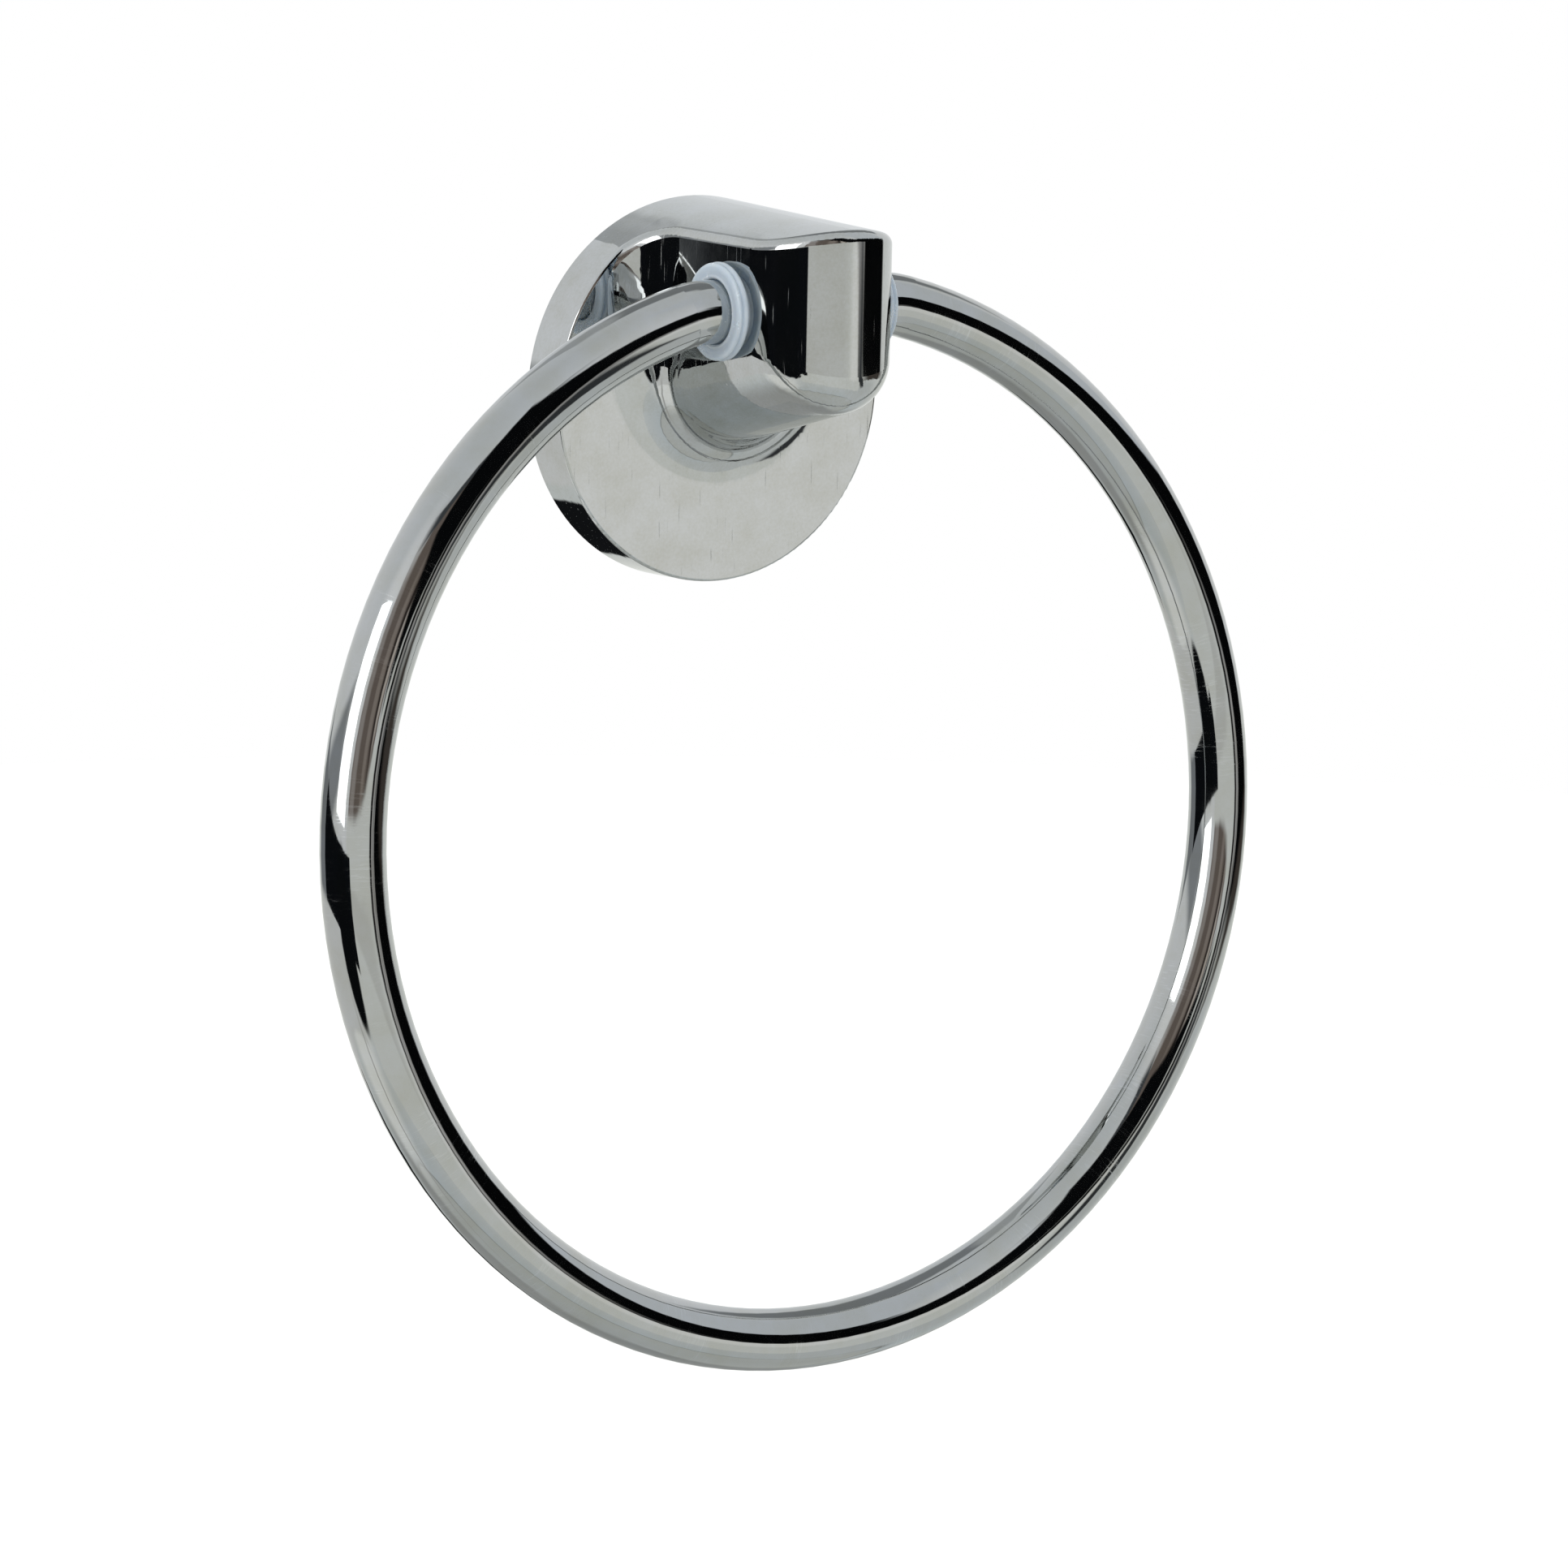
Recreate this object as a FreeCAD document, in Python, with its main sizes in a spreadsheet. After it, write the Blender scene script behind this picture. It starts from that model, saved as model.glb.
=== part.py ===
# Towel ring: a round wall plate cast in one piece with a hooded post, and a bent tube ring that swings
# in two nylon bushes through the post. Millimetres, +Z up. The wall is the plane y = 0 and the room is on
# the -Y side. The origin is the middle of the plate's back.
import FreeCAD, Part
import math
import os
import re

import Sketcher

os.makedirs("parts", exist_ok=True)
doc = FreeCAD.newDocument("TowelRing")

# Driving dimensions: alias, value, meaning
sizes = [
    ("plate_diameter", 56.4, "round wall plate across its back edge"),
    ("plate_thickness", 8.0, "wall to the plate's flat face"),
    ("hood_draft", 2.6, "degrees that the rim and the hood close towards the room"),
    ("post_width", 22.4, "post across its walls, at the middle of the round nose"),
    ("wall_draft", 3.8, "degrees that each wall of the post spreads towards the plate"),
    ("post_reach", 41.8, "wall to the front of the nose"),
    ("underside_at_face", 8.0, "lowest line of the post below the plate's middle, at the face"),
    ("underside_at_nose", 1.4, "lowest line of the post above the plate's middle, at the front"),
    ("flare_radius", 7.5, "hollow rounding where the post grows out of the face"),
    ("nose_lip_radius", 6.0, "rounding under the nose"),
    ("hood_edge_radius", 1.6, "rounding along the hood's edge on the post"),
    ("rim_edge_radius", 0.4, "rounding along the plate's front edge"),
    ("pivot_reach", 26.0, "wall to the ring's pivot axis"),
    ("pivot_height", 14.2, "plate's middle up to the pivot axis"),
    ("ring_diameter", 151.0, "ring across the middle of its tube"),
    ("tube_diameter", 9.0, "outside of the tube"),
    ("tube_wall", 1.0, "wall of the tube"),
    ("bend_radius", 18.0, "bend between the ring's curve and its straight ends"),
    ("end_gap", 6.0, "gap between the two tube ends inside the post"),
    ("swing_angle", 6.4, "degrees that the ring hangs out from the wall"),
    ("running_clearance", 0.08, "radial play of the tube in a bush"),
    ("seat_clearance", 0.03, "play of a bush in the post"),
    ("bush_wall", 1.1, "wall of the bush sleeve"),
    ("bush_sleeve", 5.0, "length of the bush sleeve inside the post"),
    ("bush_diameter", 14.0, "outside of the bush's two lips"),
    ("bush_lip", 0.9, "thickness of one lip"),
    ("bush_groove", 0.6, "width of the groove between the lips"),
    ("bush_groove_depth", 0.8, "depth of that groove"),
    ("bush_mouth", 0.4, "chamfer at the bush's mouth"),
    ("rim_wall", 3.7, "wall of the rim round the hollow in the plate's back"),
    ("recess_depth", 5.2, "depth of that hollow"),
    ("core_width", 16.0, "cored hollow inside the post"),
    ("core_middle", 5.0, "centre of that hollow's round bottom above the plate's middle"),
    ("core_top", 19.0, "top of that hollow above the plate's middle"),
    ("core_depth", 16.0, "wall to the end of that hollow"),
    ("core_draft", 2.0, "degrees that the hollow closes towards the room"),
    ("bracket_thickness", 5.0, "wall bracket"),
    ("bracket_play", 0.15, "radial play of the bracket in the plate's hollow"),
    ("bracket_hole", 4.5, "each wall screw hole"),
    ("bracket_countersink", 8.6, "countersink of each wall screw hole"),
    ("countersink_angle", 90, "degrees across the countersink"),
    ("bracket_hole_spacing", 26.0, "between the two wall screw holes"),
    ("bracket_groove_depth", 0.9, "groove round the bracket's edge for the grub screw"),
    ("bracket_groove_width", 1.4, "bottom of that groove"),
    ("grub_diameter", 3.0, "grub screw"),
    ("grub_point", 1.2, "flat at the tip of the grub screw"),
    ("grub_hex", 1.5, "hexagon socket across its flats"),
    ("grub_hex_depth", 1.6, "depth of the hexagon socket"),
    ("grub_sink", 0.5, "head of the grub screw below the rim's surface"),
    ("grub_play", 0.03, "play of the grub screw in its hole and in the groove"),
]

# Sizes worked out from them: alias, formula
worked_out = [
    ("plate_radius", "plate_diameter / 2"),
    ("nose_middle", "post_reach - post_width / 2"),
    ("wall_slope", "tan(wall_draft)"),
    ("post_base_width", "post_width + 2 * wall_slope * (nose_middle - plate_thickness)"),
    ("under_slope", "(underside_at_nose + underside_at_face) / (post_reach - plate_thickness)"),
    ("nose_radius", "post_width / 2 * cos(wall_draft)"),
    ("ring_radius", "ring_diameter / 2"),
    ("tube_radius", "tube_diameter / 2"),
    ("bush_bore", "tube_radius + running_clearance"),
    ("bush_outside", "bush_bore + bush_wall"),
    ("seat_radius", "bush_outside + seat_clearance"),
    ("bush_length", "2 * bush_lip + bush_groove"),
    ("seat_plane", "post_base_width / 2 + seat_clearance"
                   " - wall_slope * (pivot_reach - bush_diameter / 2 - plate_thickness)"),
    ("straight_reach", "seat_plane + bush_length"),
    ("bend_sine", "straight_reach / (ring_radius - bend_radius)"),
    ("ring_drop", "bend_radius + (ring_radius - bend_radius) * cos(asin(bend_sine))"),
    ("recess_radius", "plate_radius - rim_wall"),
    ("bracket_radius", "recess_radius - bracket_play"),
    ("grub_reach", "bracket_thickness / 2"),
    ("grub_tip", "bracket_radius - bracket_groove_depth + grub_play"),
    ("grub_head", "plate_radius - grub_reach * tan(hood_draft) - grub_sink"),
]

sheet = doc.addObject("Spreadsheet::Sheet", "Sizes")
for row, (alias, number, meaning) in enumerate(sizes, start=1):
    sheet.set("A%d" % row, alias)
    sheet.set("B%d" % row, str(number))
    sheet.set("C%d" % row, meaning)
    sheet.setAlias("B%d" % row, alias)
for row, (alias, formula) in enumerate(worked_out, start=len(sizes) + 1):
    sheet.set("A%d" % row, alias)
    sheet.set("B%d" % row, "=" + formula)
    sheet.setAlias("B%d" % row, alias)
    doc.recompute()
names = [entry[0] for entry in sizes + worked_out]

full_turn = 360  # degrees
half_right_angle = 45  # degrees
near = 0.02  # how closely an edge has to lie on a plane or line to be picked
lip_slack = 0.3  # how far back the two ends of the edge under the nose may lie
probe_count = 5  # points tried along an edge that is being picked


def number(formula):
    """The value of a formula in the sheet's names."""
    return float(sheet.evalExpression(formula))


def bound(formula):
    """The same formula, for an object outside the sheet."""
    return re.sub(r"[a-z_]+", lambda word: "Sizes." + word[0] if word[0] in names else word[0], formula)


def point(along, up):
    return FreeCAD.Vector(number(along), number(up), 0)


def plane_of(body, role):
    """One of a body's own origin planes."""
    return next(feature for feature in body.Origin.OriginFeatures if feature.Role == role)


def new_body(label):
    body = doc.addObject("PartDesign::Body", label)
    body.Label = label
    return body


def new_sketch(body, name, role, distance=None):
    """An empty sketch on an origin plane, or at a distance in front of it."""
    sketch = body.newObject("Sketcher::SketchObject", name)
    sketch.AttachmentSupport = [(plane_of(body, role), "")]
    sketch.MapMode = "FlatFace"
    if distance:
        sketch.setExpression("AttachmentOffset.Base.z", bound(distance))
    return sketch


def drive(sketch, kind, where, formula):
    """A dimension of a sketch, kept by a formula."""
    index = sketch.addConstraint(Sketcher.Constraint(kind, *where, number(formula)))
    sketch.setExpression("Constraints[%d]" % index, bound(formula))


def draw_circle(sketch, radius, along="0", up="0"):
    middle = point(along, up)
    circle = sketch.addGeometry(Part.Circle(middle, FreeCAD.Vector(0, 0, 1), number(radius)))
    drive(sketch, "Radius", (circle,), radius)
    drive(sketch, "DistanceX", (-1, 1, circle, 3), along)
    drive(sketch, "DistanceY", (-1, 1, circle, 3), up)


def draw_outline(sketch, corners, arcs=None, closed=True, driven=True):
    """Lines from corner to corner; arcs gives, for a side, its middle point and its centre's height.
    An outline that isn't driven lies exactly where its corners are worked out, with no constraints."""
    arcs = arcs or {}
    sides = len(corners) if closed else len(corners) - 1
    for side in range(sides):
        begin = point(*corners[side])
        end = point(*corners[(side + 1) % len(corners)])
        if side in arcs:
            middle = point(*arcs[side][0])
            sketch.addGeometry(Part.Arc(begin, middle, end))
        else:
            sketch.addGeometry(Part.LineSegment(begin, end))
    if not driven:
        return
    ends = {}
    for side in range(sides):
        begin = point(*corners[side])
        curve = sketch.Geometry[side]
        forward = curve.StartPoint.distanceToPoint(begin) < curve.EndPoint.distanceToPoint(begin)
        ends[side] = (1, 2) if forward else (2, 1)
    for side in range(sides if closed else sides - 1):
        after = (side + 1) % sides
        sketch.addConstraint(Sketcher.Constraint("Coincident", side, ends[side][1], after, ends[after][0]))
    for side in range(sides):
        along, up = corners[side]
        drive(sketch, "DistanceX", (-1, 1, side, ends[side][0]), along)
        drive(sketch, "DistanceY", (-1, 1, side, ends[side][0]), up)
    if not closed:
        along, up = corners[-1]
        drive(sketch, "DistanceX", (-1, 1, sides - 1, ends[sides - 1][1]), along)
        drive(sketch, "DistanceY", (-1, 1, sides - 1, ends[sides - 1][1]), up)
    for side, (middle, centre_up) in arcs.items():
        drive(sketch, "DistanceY", (-1, 1, side, 3), centre_up)


def add_pad(body, name, sketch, length):
    pad = body.newObject("PartDesign::Pad", name)
    pad.Profile = sketch
    pad.setExpression("Length", bound(length))
    doc.recompute()
    return pad


def add_pocket(body, name, sketch, length=None, reverse=False, both_ways=False, draft=None):
    """Cuts the sketch's area away; without a length it goes through everything."""
    before = body.Shape.Volume
    pocket = body.newObject("PartDesign::Pocket", name)
    pocket.Profile = sketch
    pocket.Reversed = reverse
    pocket.Midplane = both_ways
    if length:
        pocket.setExpression("Length", bound(length))
    else:
        pocket.Type = "ThroughAll"
    if draft:
        pocket.setExpression("TaperAngle", bound(draft))
    doc.recompute()
    if not body.Shape.Volume < before:
        raise RuntimeError(name + " cuts nothing")
    return pocket


def add_turned(body, name, kind, sketch):
    """A full turn of the sketch about its horizontal axis."""
    turned = body.newObject(kind, name)
    turned.Profile = sketch
    turned.ReferenceAxis = (sketch, ["H_Axis"])
    turned.Angle = full_turn
    doc.recompute()
    return turned


def close(first, second):
    return abs(first - second) < near


def edges_where(shape, test):
    """Names of the edges of which every probe point passes a test."""
    found = []
    for index, edge in enumerate(shape.Edges, start=1):
        probes = edge.discretize(Number=probe_count)
        if all(test(probe) for probe in probes):
            found.append("Edge%d" % index)
    return found


def add_fillet(body, name, test, radius):
    base = body.Tip
    edges = edges_where(base.Shape, test)
    if not edges:
        raise RuntimeError(name + " found no edge")
    fillet = body.newObject("PartDesign::Fillet", name)
    fillet.Base = (base, edges)
    fillet.setExpression("Radius", bound(radius))
    doc.recompute()
    return fillet


# Holder: the plate, the flare, the hooded post and its hollows are one casting.
# The rim of the plate and the hood over the post are one surface, turned about the plate's axis.
holder = new_body("holder")
blank_radius = "plate_radius + flare_radius"
plate_outline = new_sketch(holder, "plate_outline", "XZ_Plane")
draw_circle(plate_outline, blank_radius)
add_pad(holder, "plate_blank", plate_outline, "plate_thickness")


def post_section(name, distance):
    """A section of the post: flat walls, half-round underside, open height for the hood."""
    section = new_sketch(holder, name, "XZ_Plane", distance)
    half = "(post_base_width / 2 - wall_slope * (%s - plate_thickness))" % distance
    low = "(under_slope * (%s - plate_thickness) - underside_at_face)" % distance
    top = "(plate_radius + flare_radius)"
    middle = "(%s + %s)" % (low, half)
    corners = [("-" + half, top), ("-" + half, middle), (half, middle), (half, top)]
    draw_outline(section, corners, {1: (("0", low), middle)})
    return section


back_section = post_section("post_section_back", "(plate_thickness / 2)")
front_section = post_section("post_section_front", "(post_reach + plate_thickness / 2)")
doc.recompute()
post = holder.newObject("PartDesign::AdditiveLoft", "post")
post.Profile = back_section
post.Sections = [front_section]
post.Ruled = True
doc.recompute()

# The flare runs all round the post, where its walls and underside leave the face.
face_y = -number("plate_thickness")
base_reach = number("post_base_width / 2") + near
add_fillet(holder, "flare", lambda at: close(at.y, face_y) and abs(at.x) < base_reach
           and at.z < number("plate_radius + flare_radius") - near, "flare_radius")

# Seen from above the post ends in a round nose, tangent to both walls.
nose_outline = new_sketch(holder, "nose_outline", "XY_Plane")
touch_x = "nose_radius * cos(wall_draft)"
touch_y = "(nose_radius * sin(wall_draft) + nose_middle)"
clear_x = "(post_base_width / 2 + flare_radius)"
clear_y = "(post_reach + plate_thickness)"
draw_outline(nose_outline,
             [("-" + touch_x, "-" + touch_y), (touch_x, "-" + touch_y), (clear_x, "-" + touch_y),
              (clear_x, "-" + clear_y), ("-" + clear_x, "-" + clear_y), ("-" + clear_x, "-" + touch_y)],
             {0: (("0", "-nose_middle - nose_radius"), "-nose_middle")})
add_pocket(holder, "nose", nose_outline, both_ways=True)

# The turned cut leaves the drafted rim and, in line with it, the hood.
hood_profile = new_sketch(holder, "hood_profile", "YZ_Plane")
hood_front = "(post_reach + plate_thickness)"
hood_outside = "(plate_radius + flare_radius + post_base_width)"
draw_outline(hood_profile,
             [("0", "plate_radius"),
              ("-" + hood_front, "plate_radius - tan(hood_draft) * " + hood_front),
              ("-" + hood_front, hood_outside), ("0", hood_outside)])
add_turned(holder, "hood", "PartDesign::Groove", hood_profile)


def radius_left(at):
    """How far a point lies inside the turned surface of the rim and the hood."""
    surface_radius = number("plate_radius") + at.y * math.tan(math.radians(number("hood_draft")))
    return surface_radius - math.hypot(at.x, at.z)


add_fillet(holder, "hood_edge", lambda at: close(radius_left(at), 0) and at.y < face_y - near,
           "hood_edge_radius")

# The plate's own front edge is crisper: a turned corner that fills the wide rounding up again there.
rim_profile = new_sketch(holder, "rim_profile", "YZ_Plane")
rim_centre_reach = "(plate_thickness - rim_edge_radius)"
rim_at_centre = "(plate_radius - tan(hood_draft) * %s)" % rim_centre_reach
rim_centre_radius = "(%s - rim_edge_radius / cos(hood_draft))" % rim_at_centre
rim_middle_angle = "(%g - hood_draft / 2)" % half_right_angle
corner_reach = "(plate_thickness - 2 * hood_edge_radius)"
corner_inside = "(plate_radius - 2 * hood_edge_radius)"
draw_outline(rim_profile,
             [("-plate_thickness", corner_inside), ("-plate_thickness", rim_centre_radius),
              ("-%s - rim_edge_radius * sin(hood_draft)" % rim_centre_reach,
               "%s + rim_edge_radius * cos(hood_draft)" % rim_centre_radius),
              ("-" + corner_reach, "plate_radius - tan(hood_draft) * " + corner_reach),
              ("-" + corner_reach, corner_inside)],
             {1: (("-%s - rim_edge_radius * cos(%s)" % (rim_centre_reach, rim_middle_angle),
                   "%s + rim_edge_radius * sin(%s)" % (rim_centre_radius, rim_middle_angle)),
                  rim_centre_radius)}, driven=False)
add_turned(holder, "rim_corner", "PartDesign::Revolution", rim_profile)

# Under the nose the edge lies wholly in front of the line where the walls turn into the nose.
lip_back = lip_slack - number(touch_y)
add_fillet(holder, "nose_lip", lambda at: at.y < lip_back and at.z < number("pivot_height"),
           "nose_lip_radius")

# The back is hollow: a round recess for the wall bracket, and a core up into the post.
recess_outline = new_sketch(holder, "recess_outline", "XZ_Plane")
draw_circle(recess_outline, "recess_radius")
add_pocket(holder, "recess", recess_outline, "recess_depth", reverse=True)
core_outline = new_sketch(holder, "core_outline", "XZ_Plane")
draw_outline(core_outline,
             [("-core_width / 2", "core_top"), ("-core_width / 2", "core_middle"),
              ("core_width / 2", "core_middle"), ("core_width / 2", "core_top")],
             {1: (("0", "core_middle - core_width / 2"), "core_middle")})
add_pocket(holder, "core", core_outline, "core_depth", reverse=True, draft="-core_draft")

# One bore through the post seats both bushes, and a small one under the rim takes the grub screw.
seat_outline = new_sketch(holder, "seat_outline", "YZ_Plane")
draw_circle(seat_outline, "seat_radius", "-pivot_reach", "pivot_height")
add_pocket(holder, "bush_seats", seat_outline, both_ways=True)
grub_outline = new_sketch(holder, "grub_outline", "XY_Plane", "-plate_radius")
draw_circle(grub_outline, "grub_diameter / 2 + grub_play", "0", "-grub_reach")
grub_bore_depth = "rim_wall + grub_diameter"
add_pocket(holder, "grub_bore", grub_outline, grub_bore_depth, reverse=True)

# Towel ring: one tube, bent to a round ring, with short straight ends that meet inside the post.
# It is drawn hanging straight down from the pivot axis and then swung out from the wall.
ring = new_body("towel_ring")
ring_path = new_sketch(ring, "ring_path", "XZ_Plane")
join_along = "ring_radius * bend_sine"
join_up = "(bend_radius * cos(asin(bend_sine)) - bend_radius)"
bend_middle_along = "(straight_reach + bend_radius * sin(asin(bend_sine) / 2))"
bend_middle_up = "(bend_radius * cos(asin(bend_sine) / 2) - bend_radius)"
draw_outline(ring_path,
             [("-end_gap / 2", "0"), ("-straight_reach", "0"), ("-" + join_along, join_up),
              (join_along, join_up), ("straight_reach", "0"), ("end_gap / 2", "0")],
             {1: (("-" + bend_middle_along, bend_middle_up), "-bend_radius"),
              2: (("0", "-ring_drop - ring_radius"), "-ring_drop"),
              3: ((bend_middle_along, bend_middle_up), "-bend_radius")}, closed=False)
tube_section = new_sketch(ring, "tube_section", "YZ_Plane", "-end_gap / 2")
draw_circle(tube_section, "tube_radius")
draw_circle(tube_section, "tube_radius - tube_wall")
doc.recompute()
tube = ring.newObject("PartDesign::AdditivePipe", "tube")
tube.Profile = tube_section
tube.Spine = (ring_path, [])
doc.recompute()
pivot = FreeCAD.Vector(0, -number("pivot_reach"), number("pivot_height"))
sideways = FreeCAD.Vector(1, 0, 0)
ring.Placement = FreeCAD.Placement(pivot, FreeCAD.Rotation(sideways, -number("swing_angle")))


def make_bush(label, half_turn):
    """A nylon bush: a sleeve in the post and two lips outside it, turned about the pivot axis."""
    bush = new_body(label)
    profile = new_sketch(bush, label + "_profile", "XZ_Plane")
    outer = "bush_diameter / 2"
    hollow = "(bush_diameter / 2 - bush_groove_depth)"
    draw_outline(profile,
                 [("-bush_sleeve", "bush_bore"), ("-bush_sleeve", "bush_outside"), ("0", "bush_outside"),
                  ("0", outer), ("bush_lip", outer), ("bush_lip", hollow),
                  ("bush_lip + bush_groove", hollow), ("bush_lip + bush_groove", outer),
                  ("bush_length", outer), ("bush_length", "bush_bore + bush_mouth"),
                  ("bush_length - bush_mouth", "bush_bore")])
    add_turned(bush, label + "_turned", "PartDesign::Revolution", profile)
    side = -1 if half_turn else 1
    place = pivot + sideways * (side * number("seat_plane"))
    bush.Placement = FreeCAD.Placement(place, FreeCAD.Rotation(FreeCAD.Vector(0, 0, 1), half_turn))
    return bush


bush_right = make_bush("bush_right", 0)
bush_left = make_bush("bush_left", 180)

# Wall bracket: a round plate in the recess, screwed to the wall, with a groove for the grub screw's tip.
bracket = new_body("wall_bracket")
bracket_profile = new_sketch(bracket, "bracket_profile", "YZ_Plane")
groove_low = "bracket_radius - bracket_groove_depth"
groove_half = "bracket_groove_width / 2"
draw_outline(bracket_profile,
             [("0", "0"), ("0", "bracket_radius"),
              ("-grub_reach + %s + bracket_groove_depth" % groove_half, "bracket_radius"),
              ("-grub_reach + " + groove_half, groove_low),
              ("-grub_reach - " + groove_half, groove_low),
              ("-grub_reach - %s - bracket_groove_depth" % groove_half, "bracket_radius"),
              ("-bracket_thickness", "bracket_radius"), ("-bracket_thickness", "0")])
add_turned(bracket, "bracket_turned", "PartDesign::Revolution", bracket_profile)
screw_centres = new_sketch(bracket, "screw_centres", "XZ_Plane", "bracket_thickness")
for side in ("", "-"):
    draw_circle(screw_centres, "bracket_hole / 2", "0", side + "bracket_hole_spacing / 2")
doc.recompute()
screw_holes = bracket.newObject("PartDesign::Hole", "screw_holes")
screw_holes.Profile = screw_centres
screw_holes.DepthType = "ThroughAll"
screw_holes.HoleCutType = "Countersink"
screw_holes.HoleCutCustomValues = True
screw_holes.setExpression("HoleCutCountersinkAngle", bound("countersink_angle"))
screw_holes.setExpression("Diameter", bound("bracket_hole"))
screw_holes.setExpression("HoleCutDiameter", bound("bracket_countersink"))
doc.recompute()

# Grub screw: under the rim, its cone in the bracket's groove, its hexagon socket facing down.
grub = new_body("grub_screw")
grub_profile = new_sketch(grub, "grub_profile", "XZ_Plane")
cone = "(grub_diameter / 2 - grub_point / 2)"
draw_outline(grub_profile,
             [("grub_tip", "0"), ("grub_tip", "grub_point / 2"), ("grub_tip + " + cone, "grub_diameter / 2"),
              ("grub_head", "grub_diameter / 2"), ("grub_head", "0")])
add_turned(grub, "grub_turned", "PartDesign::Revolution", grub_profile)
socket_outline = new_sketch(grub, "socket_outline", "YZ_Plane", "grub_head")
hex_radius = "grub_hex / sqrt(3)"
hex_corners = 6
hex_angles = [corner * full_turn / hex_corners for corner in range(hex_corners)]
draw_outline(socket_outline,
             [("%s * cos(%d)" % (hex_radius, angle), "%s * sin(%d)" % (hex_radius, angle))
              for angle in hex_angles])
add_pocket(grub, "socket", socket_outline, "grub_hex_depth")
grub.Placement = FreeCAD.Placement(FreeCAD.Vector(0, -number("grub_reach"), 0),
                                   FreeCAD.Rotation(FreeCAD.Vector(0, 1, 0), 90))

doc.recompute()
for thing in doc.Objects:
    if {"Invalid", "Error"} & set(thing.State):
        raise RuntimeError("%s failed: %s" % (thing.Name, thing.State))
for body in (holder, ring, bush_left, bush_right, bracket, grub):
    shape = body.Shape
    if shape.isNull() or not shape.isValid() or len(shape.Solids) != 1:
        raise RuntimeError("%s is not one valid solid" % body.Label)
    print(body.Label, "volume", round(shape.Volume, 1))
    shape.exportStep("parts/%s.step" % body.Label)
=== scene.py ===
import math

import bpy
from mathutils import Matrix, Vector


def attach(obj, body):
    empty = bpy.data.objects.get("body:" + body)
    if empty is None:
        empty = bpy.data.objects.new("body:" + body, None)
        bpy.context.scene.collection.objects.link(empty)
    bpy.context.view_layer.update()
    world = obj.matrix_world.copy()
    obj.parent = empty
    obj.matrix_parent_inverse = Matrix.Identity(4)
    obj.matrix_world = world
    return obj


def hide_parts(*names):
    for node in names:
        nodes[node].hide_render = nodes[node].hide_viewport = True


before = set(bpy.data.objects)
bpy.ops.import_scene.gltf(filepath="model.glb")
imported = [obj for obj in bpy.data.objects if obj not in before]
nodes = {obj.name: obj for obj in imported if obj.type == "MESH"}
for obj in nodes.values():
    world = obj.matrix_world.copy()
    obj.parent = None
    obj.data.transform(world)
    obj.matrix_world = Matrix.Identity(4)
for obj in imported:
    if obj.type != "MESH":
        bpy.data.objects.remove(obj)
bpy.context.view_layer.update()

mm = 0.001  # metres
print("frame loaded")


# sRGB hex to linear red, green, blue, and full alpha
def linear(hexColour):
    parts = [int(hexColour[i:i + 2], 16) / 255 for i in (1, 3, 5)]
    return tuple(p / 12.92 if p <= 0.04045 else ((p + 0.055) / 1.055) ** 2.4 for p in parts) + (1.0,)


# adds a node; an input gets a value, or the socket that it is linked to
# (a colour Mix has its two colours at inputs 6 and 7 and its result at output 2)
def addNode(tree, kind, inputs=None, **settings):
    node = tree.nodes.new(kind)
    for key, value in settings.items():
        setattr(node, key, value)
    for key, value in (inputs or {}).items():
        if isinstance(value, bpy.types.NodeSocket):
            tree.links.new(value, node.inputs[key])
        else:
            node.inputs[key].default_value = value
    return node


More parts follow.
